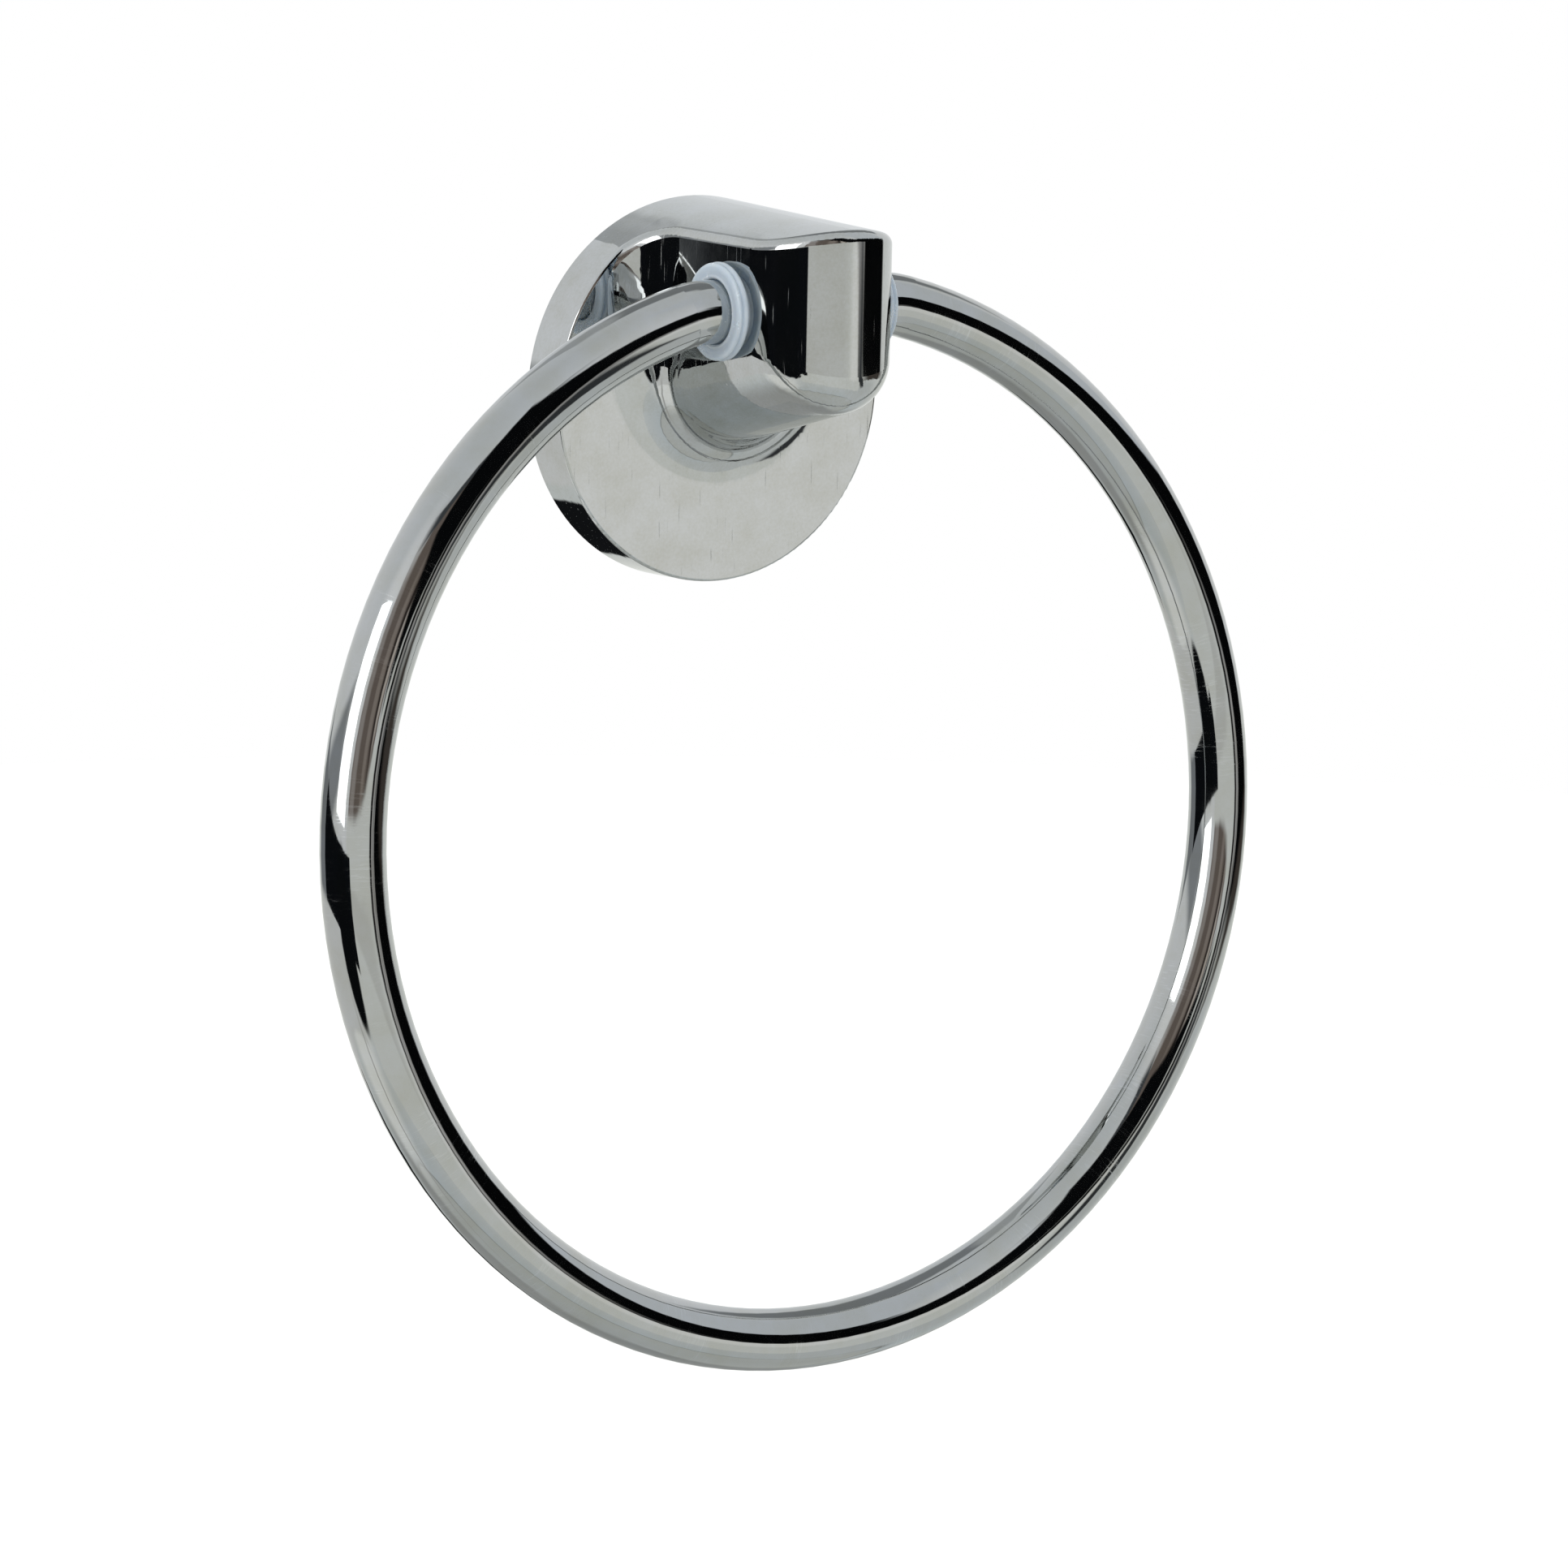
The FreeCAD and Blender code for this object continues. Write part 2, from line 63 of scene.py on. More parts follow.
# The room that the chrome mirrors: a pale room with a few dark openings, as a list of cards.
# A later card covers an earlier one. All angles are in degrees:
# at = azimuth and elevation; azimuth 0 is straight in front of the plate, + to its right;
# size = width and height; tilt = turn of the card; soft = share of half its size that fades out.
room = {
    "spread": 0.9,  # plain white that everything but the metal gets
    "rows": [  # plain room from straight below to straight above, with one dark seam in the floor
        (-90, "#C7CAC8"), (-70, "#CCCFCB"), (-57, "#CCCEC8"), (-54.6, "#CACCC6"), (-54, "#82847F"),
        (-53.2, "#D2D8D8"), (-40, "#D8DCDA"), (-25, "#E5E7E3"), (-12, "#EEF0EB"), (0, "#EEEFEE"),
        (25, "#F0F1F2"), (55, "#E2E5E6"), (90, "#DBDEDF"),
    ],
    "cards": [
        dict(at=(62, 36), size=(60, 64), soft=0.12, colour="#DDE1E5"),  # bluish side wall
        dict(at=(135, 47), size=(62, 36), soft=0.15, colour="#8F9294"),  # doorway behind
        dict(at=(176, 48), size=(24, 34), soft=0.3, colour="#BABDBE"),
        dict(at=(153, 10), size=(32, 44), soft=0.2, colour="#E6E9EB"),  # paler wall behind
        dict(at=(-157, -62), size=(70, 36), soft=0.4, colour="#B0B1AE"),  # greyer floor behind
        dict(at=(160, -58), size=(66, 46), soft=0.35, colour="#A9ABA9"),
        dict(at=(-100, -37), size=(68, 38), soft=0.45, colour="#FFFFFA", shape="oval"),
        dict(at=(60, -36), size=(60, 42), soft=0.45, colour="#D5D8D6", shape="oval"),
        dict(at=(-117, 6), size=(70, 18), tilt=24, soft=0.3, colour="#9A9DA0"),  # dark opening, left
        dict(at=(-130, -23), size=(110, 18), soft=0.08, colour="#E6E6E3"),
        dict(at=(-155, -7.5), size=(34, 14), soft=0.12, colour="#888B8E"),
        dict(at=(-66, 28), size=(56, 44), soft=0.5, colour="#FFFFFF", shape="oval"),  # lit wall, left
        dict(at=(-17, 6), size=(64, 76), soft=0.06, colour="#766B64", shape="oval"),  # warm dark opening
        dict(at=(-39, 20), size=(14, 44), soft=0.5, colour="#A39B96"),  # and what shows faintly in it
        dict(at=(-9, 14), size=(12, 24), soft=0.4, colour="#968B83", shape="oval"),
        dict(at=(3, 13), size=(7, 18), soft=0.4, colour="#3B3431", shape="oval"),
        dict(at=(9, 9), size=(7, 9), soft=0.4, colour="#C9BFB6", shape="oval"),
        dict(at=(-14, 41), size=(52, 5), tilt=-8, soft=0.4, colour="#4A4D50"),
        dict(at=(14, 21), size=(56, 20), tilt=-43, soft=0.1, colour="#0B0C0E"),  # black boom and board
        dict(at=(0, -15), size=(106, 37), tilt=-2.5, soft=0.05, colour="#E9EAE4"),  # pale table
        dict(at=(-14, -6), size=(70, 6), soft=0.3, colour="#D9D9D3"),
        dict(at=(33, -9), size=(16, 12), soft=0.5, colour="#FAF9F4", shape="oval"),
        dict(at=(-90, -7), size=(99, 15), soft=0.012, colour="#101215"),  # low black screen, left
        dict(at=(-70, -14), size=(40, 29), soft=0.1, colour="#0F1113", shape="oval"),
        dict(at=(60, 4), size=(60, 27), tilt=-11, soft=0.07, colour="#08090A"),  # black screen, right
        dict(at=(72, -11), size=(40, 6), soft=0.5, colour="#4A443F"),
        dict(at=(41, -3.5), size=(10, 7), soft=0.5, colour="#CFCCC8", shape="oval"),
        dict(at=(48, -16), size=(6, 28), tilt=33, soft=0.3, colour="#3C3E40"),
        dict(at=(170, -34), size=(24, 10), soft=0.12, colour="#17181A"),  # dark doorway low behind
        dict(at=(-176, -34), size=(14, 10), soft=0.12, colour="#17181A"),
        dict(at=(-79, -50), size=(4, 44), tilt=24, soft=0.6, colour="#BDBCB7"),  # streak on the floor
    ],
    "softbox": dict(at=(-75, 19), distance=1.5, width=0.86, height=0.92, level=1.9),
}


# direction in which something stands, seen from the plate
def towards(azimuth, elevation):
    a, e = math.radians(azimuth), math.radians(elevation)
    return Vector((math.sin(a) * math.cos(e), -math.cos(a) * math.cos(e), math.sin(e)))


# White to the eye and through clear pieces, the room above to the metal, plain to everything else.
def makeWorld():
    world = bpy.data.worlds.new("paleRoom")
    bpy.context.scene.world = world
    world.use_nodes = True
    tree = world.node_tree
    tree.nodes.clear()
    direction = addNode(tree, "ShaderNodeTexCoord").outputs["Generated"]
    apart = addNode(tree, "ShaderNodeSeparateXYZ", {"Vector": direction})
    forward = addNode(tree, "ShaderNodeMath", {0: apart.outputs["Y"], 1: -1.0}, operation="MULTIPLY")
    azimuth = addNode(tree, "ShaderNodeMath", {0: apart.outputs["X"], 1: forward.outputs[0]},
                      operation="ARCTAN2")
    elevation = addNode(tree, "ShaderNodeMath", {0: apart.outputs["Z"]}, operation="ARCSINE")
    angles = addNode(tree, "ShaderNodeCombineXYZ", {"X": azimuth.outputs[0], "Y": elevation.outputs[0]})
    rise = addNode(tree, "ShaderNodeMapRange", {"Value": elevation.outputs[0], "From Min": -math.pi / 2,
                                                "From Max": math.pi / 2})
    ramp = addNode(tree, "ShaderNodeValToRGB", {"Fac": rise.outputs[0]})
    stops = ramp.color_ramp.elements
    for index, (height, colour) in enumerate(room["rows"]):
        place = (height + 90) / 180
        stop = stops[index] if index < 2 else stops.new(place)
        stop.position = place
        stop.color = linear(colour)
    colour = ramp.outputs["Color"]
    for card in room["cards"]:
        half = [math.radians(size) / 2 for size in card["size"]]
        middle = [math.radians(angle) for angle in card["at"]]
        local = addNode(tree, "ShaderNodeMapping",
                        {"Vector": angles.outputs[0], "Location": (middle[0], middle[1], 0),
                         "Rotation": (0, 0, math.radians(card.get("tilt", 0))),
                         "Scale": (half[0], half[1], 1)}, vector_type="TEXTURE").outputs[0]
        if card.get("shape") == "oval":
            reach = addNode(tree, "ShaderNodeVectorMath", {0: local}, operation="LENGTH").outputs["Value"]
        else:
            sides = addNode(tree, "ShaderNodeVectorMath", {0: local}, operation="ABSOLUTE")
            side = addNode(tree, "ShaderNodeSeparateXYZ", {"Vector": sides.outputs[0]})
            reach = addNode(tree, "ShaderNodeMath", {0: side.outputs["X"], 1: side.outputs["Y"]},
                            operation="MAXIMUM").outputs[0]
        inside = addNode(tree, "ShaderNodeMapRange",
                         {"Value": reach, "From Min": 1 - card["soft"], "From Max": 1 + card["soft"],
                          "To Min": 1.0, "To Max": 0.0}, interpolation_type="SMOOTHSTEP")
        colour = addNode(tree, "ShaderNodeMix", {"Factor": inside.outputs[0], 6: colour,
                                                 7: linear(card["colour"])}, data_type="RGBA").outputs[2]
    ray = addNode(tree, "ShaderNodeLightPath")
    plain = addNode(tree, "ShaderNodeBackground", {"Color": (1, 1, 1, 1), "Strength": room["spread"]})
    mirrored = addNode(tree, "ShaderNodeBackground", {"Color": colour, "Strength": 1.0})
    white = addNode(tree, "ShaderNodeBackground", {"Color": (1, 1, 1, 1), "Strength": 1.0})
    seen = addNode(tree, "ShaderNodeMath",
                   {0: ray.outputs["Is Camera Ray"], 1: ray.outputs["Is Transmission Ray"]},
                   operation="MAXIMUM")
    glossy = addNode(tree, "ShaderNodeMixShader",
                     {0: ray.outputs["Is Glossy Ray"], 1: plain.outputs[0], 2: mirrored.outputs[0]})
    final = addNode(tree, "ShaderNodeMixShader",
                    {0: seen.outputs[0], 1: glossy.outputs[0], 2: white.outputs[0]})
    addNode(tree, "ShaderNodeOutputWorld", {"Surface": final.outputs[0]})


def makeSoftbox():
    box = room["softbox"]
    data = bpy.data.lights.new("softboxLeft", "AREA")
    data.shape = "RECTANGLE"
    data.size, data.size_y = box["width"], box["height"]
    data.energy = box["level"] * math.pi * box["width"] * box["height"]  # watts for that radiance
    lamp = bpy.data.objects.new("softboxLeft", data)
    bpy.context.scene.collection.objects.link(lamp)
    away = towards(*box["at"])
    lamp.location = away * box["distance"]
    lamp.rotation_euler = away.to_track_quat("Z", "Y").to_euler()


floorBoard = {
    "radius": 1.6, "corners": 128,
    "drop": 400 * mm,
    "colour": "#D2D2D0",
    "lift": 0.5,  # what the eye gets on top of the lit board, to reach white
}


# Pale floor below the ring: the eye sees it lifted to white with the shadow left on it,
# and the metal, or an eye below it, sees through it.
def makeFloor():
    bpy.ops.object.select_all(action="DESELECT")
    bpy.ops.mesh.primitive_circle_add(vertices=floorBoard["corners"], radius=floorBoard["radius"],
                                      fill_type="NGON", location=(0, 0, -floorBoard["drop"]))
    floor = bpy.context.object
    floor.name = "floor"
    material = bpy.data.materials.new("paintedBoard")
    material.use_nodes = True
    tree = material.node_tree
    tree.nodes.clear()
    ray = addNode(tree, "ShaderNodeLightPath")
    board = addNode(tree, "ShaderNodeBsdfDiffuse", {"Color": linear(floorBoard["colour"])})
    lift = addNode(tree, "ShaderNodeMath", {0: ray.outputs["Is Camera Ray"], 1: floorBoard["lift"]},
                   operation="MULTIPLY")
    glow = addNode(tree, "ShaderNodeEmission", {"Color": (1, 1, 1, 1), "Strength": lift.outputs[0]})
    both = addNode(tree, "ShaderNodeAddShader", {0: board.outputs[0], 1: glow.outputs[0]})
    clear = addNode(tree, "ShaderNodeBsdfTransparent")
    below = addNode(tree, "ShaderNodeNewGeometry").outputs["Backfacing"]
    unseen = addNode(tree, "ShaderNodeMath", {0: ray.outputs["Is Glossy Ray"], 1: below}, operation="MAXIMUM")
    final = addNode(tree, "ShaderNodeMixShader",
                    {0: unseen.outputs[0], 1: both.outputs[0], 2: clear.outputs[0]})
    addNode(tree, "ShaderNodeOutputMaterial", {"Surface": final.outputs[0]})
    floor.data.materials.append(material)


cameraPlace = {
    "location": (-331.3 * mm, -506.6 * mm, 74.3 * mm),
    "azimuth": -34.57,
    "elevation": 12.5,
    "roll": 1.0,
    "lens": 94.23,  # on a sensor 36 mm wide
    "sensor": 36,
    "clip": (0.01, 20),
}


def makeCamera():
    data = bpy.data.cameras.new("camera")
    data.lens = cameraPlace["lens"]
    data.sensor_width = cameraPlace["sensor"]
    data.clip_start, data.clip_end = cameraPlace["clip"]
    camera = bpy.data.objects.new("camera", data)
    bpy.context.scene.collection.objects.link(camera)
    bpy.context.scene.camera = camera
    back = towards(cameraPlace["azimuth"], cameraPlace["elevation"])
    right = Vector((0, 0, 1)).cross(back).normalized()
    up = back.cross(right)
    roll = math.radians(cameraPlace["roll"])
    rolledRight = right * math.cos(roll) + up * math.sin(roll)
    rolledUp = up * math.cos(roll) - right * math.sin(roll)
    turn = Matrix((rolledRight, rolledUp, back)).transposed()
    camera.rotation_mode = "QUATERNION"
    camera.rotation_quaternion = turn.to_quaternion()
    camera.location = cameraPlace["location"]


bpy.context.scene.view_settings.view_transform = "Standard"
makeWorld()
makeSoftbox()
makeFloor()
makeCamera()
print("studio made")


def newMaterial(name):
    material = bpy.data.materials.new(name)
    material.use_nodes = True
    tree = material.node_tree
    tree.nodes.clear()
    shader = addNode(tree, "ShaderNodeBsdfPrincipled")
    addNode(tree, "ShaderNodeOutputMaterial", {"Surface": shader.outputs[0]})
    return material, tree, shader


# Turned nylon bush: a sleeve in the post and a flange of two soft lips outside it.
# Its profile runs round the cut: how far out along the pivot from the post's wall, and the radius.
bush = {
    "seat": 12.0 * mm,  # post's wall from the middle, where the flange rests
    "pivot": (-26 * mm, 14.2 * mm),
    "profile": [
        (-5.0, 4.6), (-5.0, 5.65), (0.02, 5.65), (0.02, 6.5), (0.1, 6.78), (0.28, 6.93), (0.52, 6.96),
        (0.72, 6.88), (0.86, 6.72), (1.02, 6.69), (1.16, 6.8), (1.36, 6.85), (1.56, 6.76), (1.7, 6.54),
        (1.75, 6.2), (1.68, 5.75), (1.58, 5.35), (1.62, 5.1), (1.7, 4.94), (1.62, 4.72), (1.4, 4.6),
    ],
    "round": 128,
    "weld": 0.01 * mm,
    "softUnder": 42,  # degrees; a flatter edge is shaded round
}


def makeBush(name, side):
    profile = [(out * mm, radius * mm) for out, radius in bush["profile"]]
    middle = (0, bush["pivot"][0], bush["pivot"][1])
    bpy.ops.object.select_all(action="DESELECT")
    out, radius = profile[0]
    bpy.ops.mesh.primitive_circle_add(vertices=bush["round"], radius=radius,
                                      rotation=(0, math.pi / 2, 0),
                                      location=(side * (bush["seat"] + out), middle[1], middle[2]))
    piece = bpy.context.object
    piece.name = name
    bpy.ops.object.transform_apply(location=True, rotation=True, scale=True)
    bpy.ops.object.mode_set(mode="EDIT")
    bpy.ops.mesh.select_all(action="SELECT")
    for nextOut, nextRadius in profile[1:] + profile[:1]:
        bpy.ops.mesh.extrude_region_move(TRANSFORM_OT_translate={"value": (side * (nextOut - out), 0, 0)})
        grow = nextRadius / radius
        bpy.ops.transform.resize(value=(1, grow, grow), center_override=middle)
        out, radius = nextOut, nextRadius
    bpy.ops.mesh.select_all(action="SELECT")
    bpy.ops.mesh.remove_doubles(threshold=bush["weld"])
    bpy.ops.mesh.normals_make_consistent(inside=False)
    bpy.ops.object.mode_set(mode="OBJECT")
    bpy.ops.object.shade_smooth_by_angle(angle=math.radians(bush["softUnder"]))
    return piece


bushLeft = makeBush("nylonBushLeft", -1)
bushRight = makeBush("nylonBushRight", 1)
for piece, node in ((bushLeft, "bush_left"), (bushRight, "bush_right")):
    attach(piece, "holder")
    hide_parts(node)
print("bushes made")

# in the materials' dictionaries, a name that ends in Band is the part of a noise that counts
chrome = {
    "colour": "#C3C6C8", "warm": "#B8BAB7", "warmBand": (0.38, 0.66),
    "roughness": 0.022, "haze": 0.07, "hazeBand": (0.42, 0.72),
    "wave": 13 * mm, "waveDepth": 0.02 * mm,  # polishing leaves the casting faintly uneven
    "grain": 0.45 * mm, "grainDepth": 0.0003 * mm,  # fine cloud in the plating, drawn coarser than it is
    "cloud": 7 * mm, "cloudShare": 0.65,  # the rest of the tint follows the grain
    "scratch": 0.35 * mm, "scratchLong": 7 * mm,  # hair-fine ones, drawn wider than they are
    "scratchSets": (((0.4, 0.5, 0.25), 0.0), ((0.4, -0.8, -0.4), 3.7)),  # turn, and start of the noise
    "scratchBand": (0.7, 0.78), "scratchRough": 0.22,
}


# Bright decorative chromium over polished and nickelled zinc: mirrors the room, with faint waves
# from the polishing mop, a light haze of handling and scratches as fine as hairs.
def makeChromeCasting():
    material, tree, shader = newMaterial("chromedZincCasting")
    place = addNode(tree, "ShaderNodeTexCoord").outputs["Object"]
    cloud = addNode(tree, "ShaderNodeTexNoise",
                    {"Vector": place, "Scale": 1 / chrome["cloud"], "Detail": 5.0, "Roughness": 0.62})
    fine = addNode(tree, "ShaderNodeTexNoise",
                   {"Vector": place, "Scale": 1 / chrome["grain"], "Detail": 2.0, "Roughness": 0.6})
    wave = addNode(tree, "ShaderNodeTexNoise", {"Vector": place, "Scale": 1 / chrome["wave"], "Detail": 1.0})
    blend = addNode(tree, "ShaderNodeMath", {0: cloud.outputs["Fac"], 1: chrome["cloudShare"]},
                    operation="MULTIPLY")
    blend = addNode(tree, "ShaderNodeMath",
                    {0: fine.outputs["Fac"], 1: 1 - chrome["cloudShare"], 2: blend.outputs[0]},
                    operation="MULTIPLY_ADD")
    tint = addNode(tree, "ShaderNodeMapRange",
                   {"Value": blend.outputs[0], "From Min": chrome["warmBand"][0],
                    "From Max": chrome["warmBand"][1]})
    colour = addNode(tree, "ShaderNodeMix", {"Factor": tint.outputs[0], 6: linear(chrome["colour"]),
                                             7: linear(chrome["warm"])}, data_type="RGBA")
    # two sets of scratches, each a stretched noise of which only the thin crests count
    marks = []
    across, along = 1 / chrome["scratch"], 1 / chrome["scratchLong"]
    for turn, start in chrome["scratchSets"]:
        turned = addNode(tree, "ShaderNodeMapping",
                         {"Vector": place, "Rotation": turn, "Location": (start, start, 0),
                          "Scale": (across, across, along)})
        line = addNode(tree, "ShaderNodeTexNoise", {"Vector": turned.outputs[0], "Scale": 1.0, "Detail": 1.0})
        mark = addNode(tree, "ShaderNodeMapRange",
                       {"Value": line.outputs["Fac"], "From Min": chrome["scratchBand"][0],
                        "From Max": chrome["scratchBand"][1]})
        marks.append(mark.outputs[0])
    scratched = addNode(tree, "ShaderNodeMath", {0: marks[0], 1: marks[1]}, operation="MAXIMUM")
    haze = addNode(tree, "ShaderNodeMapRange",
                   {"Value": cloud.outputs["Fac"], "From Min": chrome["hazeBand"][0],
                    "From Max": chrome["hazeBand"][1],
                    "To Min": chrome["roughness"], "To Max": chrome["haze"]})
    rough = addNode(tree, "ShaderNodeMath",
                    {0: scratched.outputs[0], 1: chrome["scratchRough"], 2: haze.outputs[0]},
                    operation="MULTIPLY_ADD")
    waveBump = addNode(tree, "ShaderNodeBump",
                       {"Height": wave.outputs["Fac"], "Distance": chrome["waveDepth"]})
    grainBump = addNode(tree, "ShaderNodeBump",
                        {"Height": fine.outputs["Fac"], "Distance": chrome["grainDepth"],
                         "Normal": waveBump.outputs[0]})
    shader.inputs["Metallic"].default_value = 1.0
    tree.links.new(colour.outputs[2], shader.inputs["Base Color"])
    tree.links.new(rough.outputs[0], shader.inputs["Roughness"])
    tree.links.new(grainBump.outputs[0], shader.inputs["Normal"])
    return material


ring = {
    "middle": (0, -34.21 * mm, -59.01 * mm), "lean": 6.4, "radius": 75.5 * mm,
    # tint darker than the casting's chromium: painted shade for the ring's dimmer reflections
    "colour": "#BABDBF", "warm": "#B4B6B3", "warmBand": (0.36, 0.68),
    "hazeBand": (0.42, 0.74),
    "lines": 0.5 * mm, "linesLong": 60 * mm, "linesDepth": 0.0006 * mm,  # drawing lines along the tube
    "hatch": 0.28 * mm, "hatchLong": 2.6 * mm, "hatchBand": (0.54, 0.72), "hatchDepth": 0.0003 * mm,
    "patch": 11 * mm, "patchBand": (0.5, 0.68),  # where the rubbing marks gather
    "rubbed": "#C6C9CB", "rubbedRough": 0.14,
}


# Bright chromium on drawn brass tube: mirrors the room, with faint lines along it and
# patches of fine rubbing marks across it. Its tint is set darker than the casting's chromium, which is
# painted shade for the dimmer reflections lower on the ring.
def makeChromeTube():
    material, tree, shader = newMaterial("chromedBrassTube")
    place = addNode(tree, "ShaderNodeTexCoord").outputs["Object"]
    local = addNode(tree, "ShaderNodeMapping", {"Vector": place, "Location": ring["middle"],
                                                "Rotation": (-math.radians(ring["lean"]), 0, 0)},
                    vector_type="TEXTURE")
    apart = addNode(tree, "ShaderNodeSeparateXYZ", {"Vector": local.outputs[0]})
    x, off, z = (apart.outputs[axis] for axis in "XYZ")
    angle = addNode(tree, "ShaderNodeMath", {0: x, 1: z}, operation="ARCTAN2").outputs[0]
    along = addNode(tree, "ShaderNodeMath", {0: angle, 1: ring["radius"]}, operation="MULTIPLY").outputs[0]
    flat = addNode(tree, "ShaderNodeCombineXYZ", {"X": x, "Y": z})
    far = addNode(tree, "ShaderNodeVectorMath", {0: flat.outputs[0]}, operation="LENGTH").outputs["Value"]
    outward = addNode(tree, "ShaderNodeMath", {0: far, 1: ring["radius"]}, operation="SUBTRACT").outputs[0]

    # noise in the tube's own directions, with its own size across and along
    def stretched(acrossSize, alongSize, start):
        unrolled = addNode(tree, "ShaderNodeCombineXYZ", {"X": outward, "Y": off, "Z": along})
        sized = addNode(tree, "ShaderNodeMapping",
                        {"Vector": unrolled.outputs[0], "Location": (start, start, start),
                         "Scale": (1 / acrossSize, 1 / acrossSize, 1 / alongSize)})
        return addNode(tree, "ShaderNodeTexNoise", {"Vector": sized.outputs[0], "Scale": 1.0, "Detail": 2.0})

    lines = stretched(ring["lines"], ring["linesLong"], 0.0)
    hatch = stretched(ring["hatchLong"], ring["hatch"], 5.0)
    patch = addNode(tree, "ShaderNodeTexNoise", {"Vector": place, "Scale": 1 / ring["patch"], "Detail": 2.0})
    cloud = addNode(tree, "ShaderNodeTexNoise",
                    {"Vector": place, "Scale": 1 / chrome["cloud"], "Detail": 5.0, "Roughness": 0.65})
    worn = addNode(tree, "ShaderNodeMapRange",
                   {"Value": patch.outputs["Fac"], "From Min": ring["patchBand"][0],
                    "From Max": ring["patchBand"][1]})
    crest = addNode(tree, "ShaderNodeMapRange",
                    {"Value": hatch.outputs["Fac"], "From Min": ring["hatchBand"][0],
                     "From Max": ring["hatchBand"][1]})
    rubbed = addNode(tree, "ShaderNodeMath", {0: worn.outputs[0], 1: crest.outputs[0]}, operation="MULTIPLY")
    haze = addNode(tree, "ShaderNodeMapRange",
                   {"Value": cloud.outputs["Fac"], "From Min": ring["hazeBand"][0],
                    "From Max": ring["hazeBand"][1],
                    "To Min": chrome["roughness"], "To Max": chrome["haze"]})
    rough = addNode(tree, "ShaderNodeMath",
                    {0: rubbed.outputs[0], 1: ring["rubbedRough"], 2: haze.outputs[0]},
                    operation="MULTIPLY_ADD")
    # the tube's tint, set darker than the casting's chromium: painted shade for its dimmer reflections
    tint = addNode(tree, "ShaderNodeMapRange",
                   {"Value": cloud.outputs["Fac"], "From Min": ring["warmBand"][0],
                    "From Max": ring["warmBand"][1]})
    colour = addNode(tree, "ShaderNodeMix", {"Factor": tint.outputs[0], 6: linear(ring["colour"]),
                                             7: linear(ring["warm"])}, data_type="RGBA")
    pale = addNode(tree, "ShaderNodeMix", {"Factor": rubbed.outputs[0], 6: colour.outputs[2],
                                           7: linear(ring["rubbed"])}, data_type="RGBA")
    lineBump = addNode(tree, "ShaderNodeBump",
                       {"Height": lines.outputs["Fac"], "Distance": ring["linesDepth"]})
    hatchBump = addNode(tree, "ShaderNodeBump",
                        {"Height": rubbed.outputs[0], "Distance": ring["hatchDepth"],
                         "Normal": lineBump.outputs[0]})
    shader.inputs["Metallic"].default_value = 1.0
    tree.links.new(pale.outputs[2], shader.inputs["Base Color"])
    tree.links.new(rough.outputs[0], shader.inputs["Roughness"])
    tree.links.new(hatchBump.outputs[0], shader.inputs["Normal"])
    return material


nylon = {
    "blue": "#C9D9E8", "milky": "#E0EAF3",
    "ior": 1.53, "roughness": (0.18, 0.32),
    "clear": 0.25, "scatter": 0.6, "scatterDepth": 1.2 * mm, "scatterByColour": (0.8, 0.9, 1.0),
    "flow": 1.6 * mm, "flowDepth": 0.0015 * mm,
}


# Unfilled injection-moulded nylon 6: milky and translucent with a cold blue cast, softly glossy.
def makeNylon():
    material, tree, shader = newMaterial("mouldedNylon")
    place = addNode(tree, "ShaderNodeTexCoord").outputs["Object"]
    flow = addNode(tree, "ShaderNodeTexNoise", {"Vector": place, "Scale": 1 / nylon["flow"], "Detail": 3.0})
    milk = addNode(tree, "ShaderNodeMix", {"Factor": flow.outputs["Fac"], 6: linear(nylon["blue"]),
                                           7: linear(nylon["milky"])}, data_type="RGBA")
    rough = addNode(tree, "ShaderNodeMapRange",
                    {"Value": flow.outputs["Fac"], "To Min": nylon["roughness"][0],
                     "To Max": nylon["roughness"][1]})
    bump = addNode(tree, "ShaderNodeBump", {"Height": flow.outputs["Fac"], "Distance": nylon["flowDepth"]})
    shader.inputs["IOR"].default_value = nylon["ior"]
    shader.inputs["Transmission Weight"].default_value = nylon["clear"]
    shader.inputs["Subsurface Weight"].default_value = nylon["scatter"]
    shader.inputs["Subsurface Radius"].default_value = nylon["scatterByColour"]
    shader.inputs["Subsurface Scale"].default_value = nylon["scatterDepth"]
    tree.links.new(milk.outputs[2], shader.inputs["Base Color"])
    tree.links.new(rough.outputs[0], shader.inputs["Roughness"])
    tree.links.new(bump.outputs[0], shader.inputs["Normal"])
    return material


steel = {
    "dark": "#8F949A", "pale": "#C9CAC4",
    "cloud": 4 * mm, "cloudBand": (0.35, 0.65),
    "spot": 0.6 * mm, "spotBand": (0.3, 0.7), "roughness": (0.22, 0.46),
    "feed": 0.7 * mm, "feedDepth": 0.006 * mm, "feedShare": 0.16,  # lathe's feed, drawn coarser than it is
}


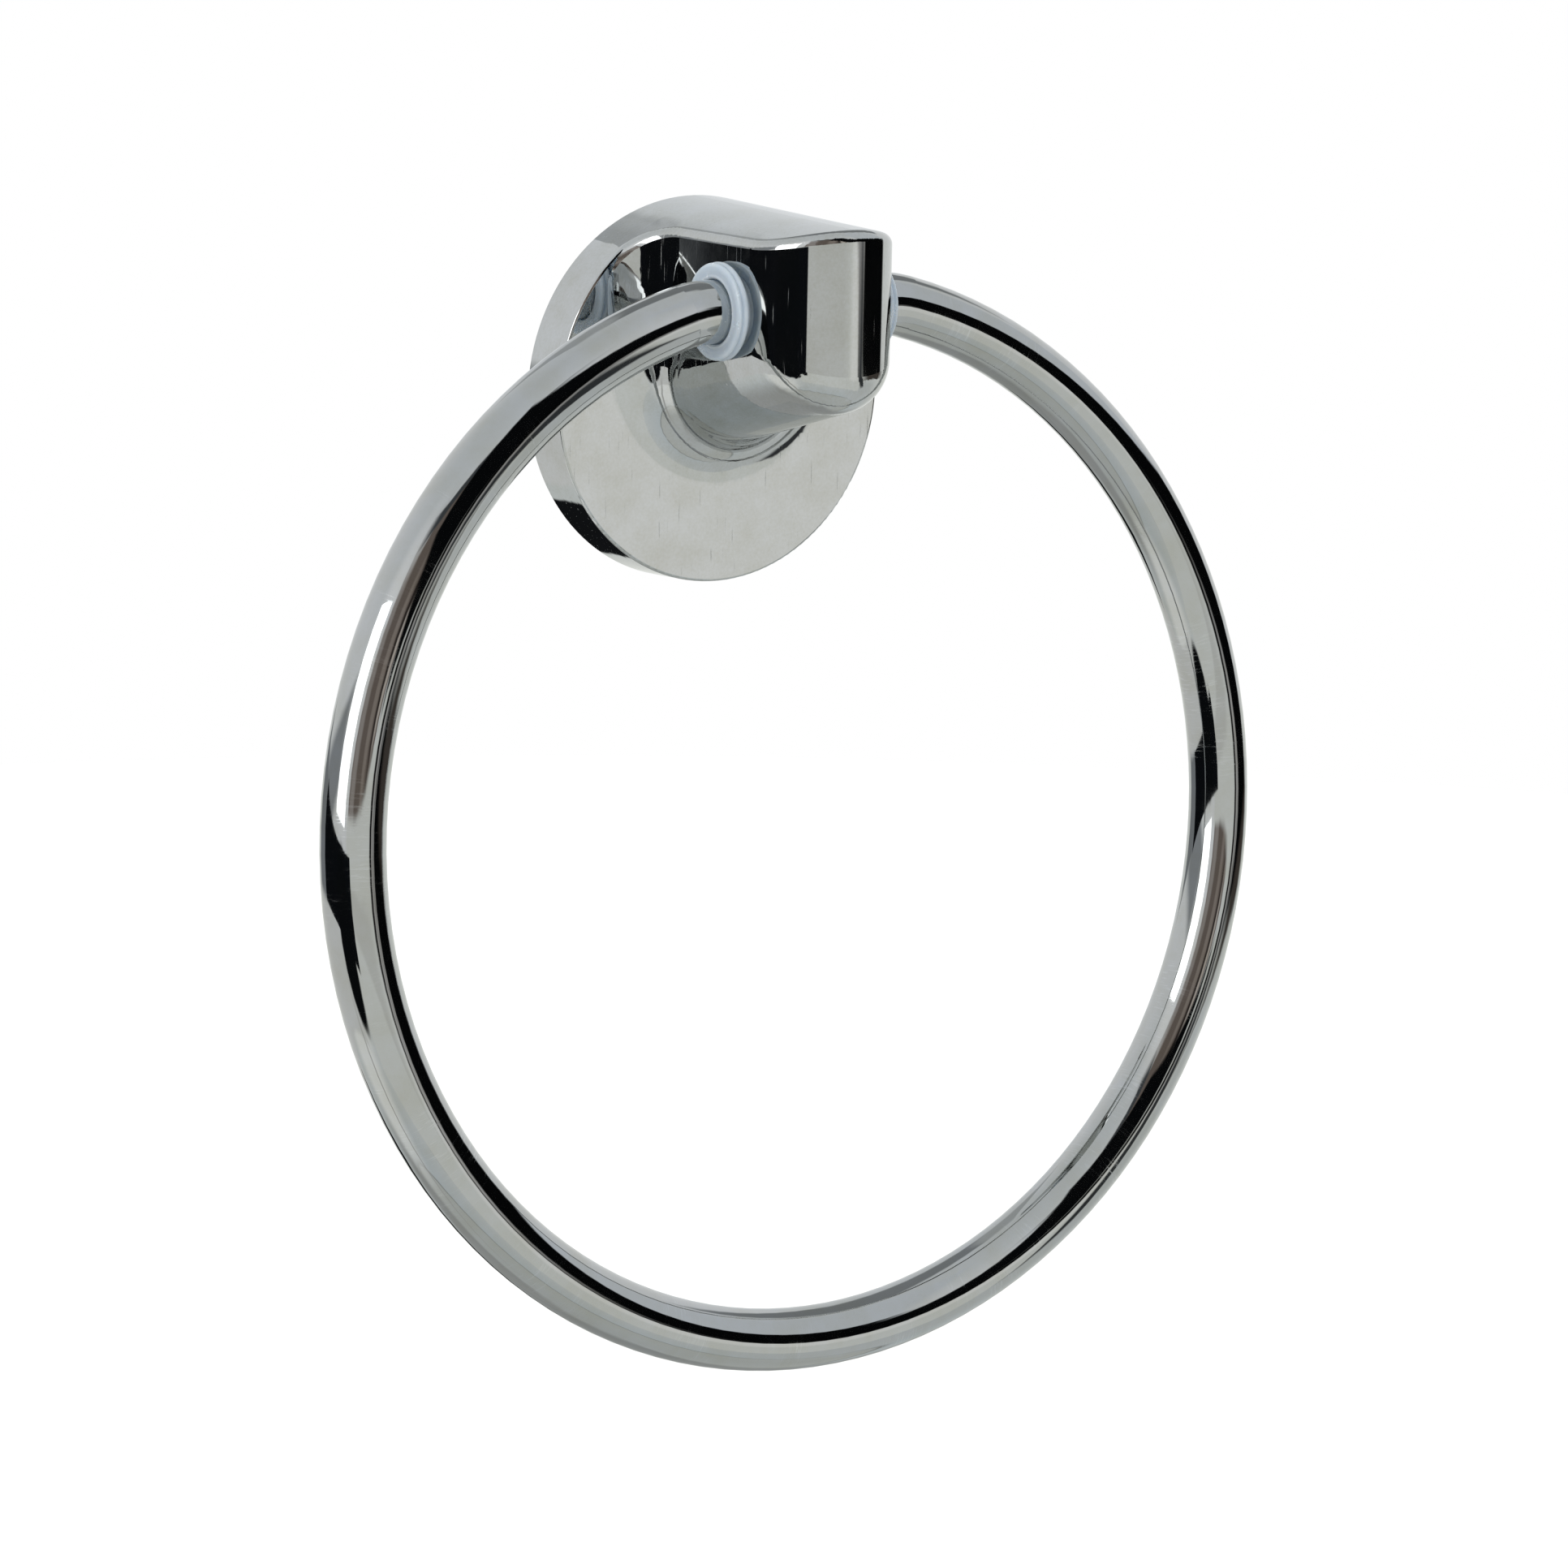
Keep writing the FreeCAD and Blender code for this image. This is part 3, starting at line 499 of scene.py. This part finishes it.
# Zinc-plated turned steel: satin and cloudy, with fine rings left by the lathe.
def makeSteel():
    material, tree, shader = newMaterial("zincPlatedSteel")
    place = addNode(tree, "ShaderNodeTexCoord").outputs["Object"]
    cloud = addNode(tree, "ShaderNodeTexNoise",
                    {"Vector": place, "Scale": 1 / steel["cloud"], "Detail": 4.0, "Roughness": 0.6})
    spot = addNode(tree, "ShaderNodeTexNoise", {"Vector": place, "Scale": 1 / steel["spot"], "Detail": 2.0})
    apart = addNode(tree, "ShaderNodeSeparateXYZ", {"Vector": place})
    flat = addNode(tree, "ShaderNodeCombineXYZ", {"X": apart.outputs["X"], "Y": apart.outputs["Z"]})
    far = addNode(tree, "ShaderNodeVectorMath", {0: flat.outputs[0]}, operation="LENGTH").outputs["Value"]
    feed = addNode(tree, "ShaderNodeMath", {0: far, 1: 2 * math.pi / steel["feed"]}, operation="MULTIPLY")
    rings = addNode(tree, "ShaderNodeMath", {0: feed.outputs[0]}, operation="SINE")
    worn = addNode(tree, "ShaderNodeMapRange",
                   {"Value": cloud.outputs["Fac"], "From Min": steel["cloudBand"][0],
                    "From Max": steel["cloudBand"][1]})
    fine = addNode(tree, "ShaderNodeMath", {0: rings.outputs[0], 1: steel["feedShare"], 2: worn.outputs[0]},
                   operation="MULTIPLY_ADD")
    colour = addNode(tree, "ShaderNodeMix", {"Factor": fine.outputs[0], 6: linear(steel["dark"]),
                                             7: linear(steel["pale"])}, data_type="RGBA")
    rough = addNode(tree, "ShaderNodeMapRange",
                    {"Value": spot.outputs["Fac"], "From Min": steel["spotBand"][0],
                     "From Max": steel["spotBand"][1], "To Min": steel["roughness"][0],
                     "To Max": steel["roughness"][1]})
    bump = addNode(tree, "ShaderNodeBump", {"Height": rings.outputs[0], "Distance": steel["feedDepth"]})
    shader.inputs["Metallic"].default_value = 1.0
    tree.links.new(colour.outputs[2], shader.inputs["Base Color"])
    tree.links.new(rough.outputs[0], shader.inputs["Roughness"])
    tree.links.new(bump.outputs[0], shader.inputs["Normal"])
    return material


def dress(piece, material):
    piece.data.materials.clear()
    piece.data.materials.append(material)


dress(nodes["holder"], makeChromeCasting())
dress(nodes["towel_ring"], makeChromeTube())
mouldedNylon = makeNylon()
for piece in (bushLeft, bushRight, nodes["bush_left"], nodes["bush_right"]):
    dress(piece, mouldedNylon)
platedSteel = makeSteel()
dress(nodes["wall_bracket"], platedSteel)
dress(nodes["grub_screw"], platedSteel)
print("materials on")

bpy.context.view_layer.update()
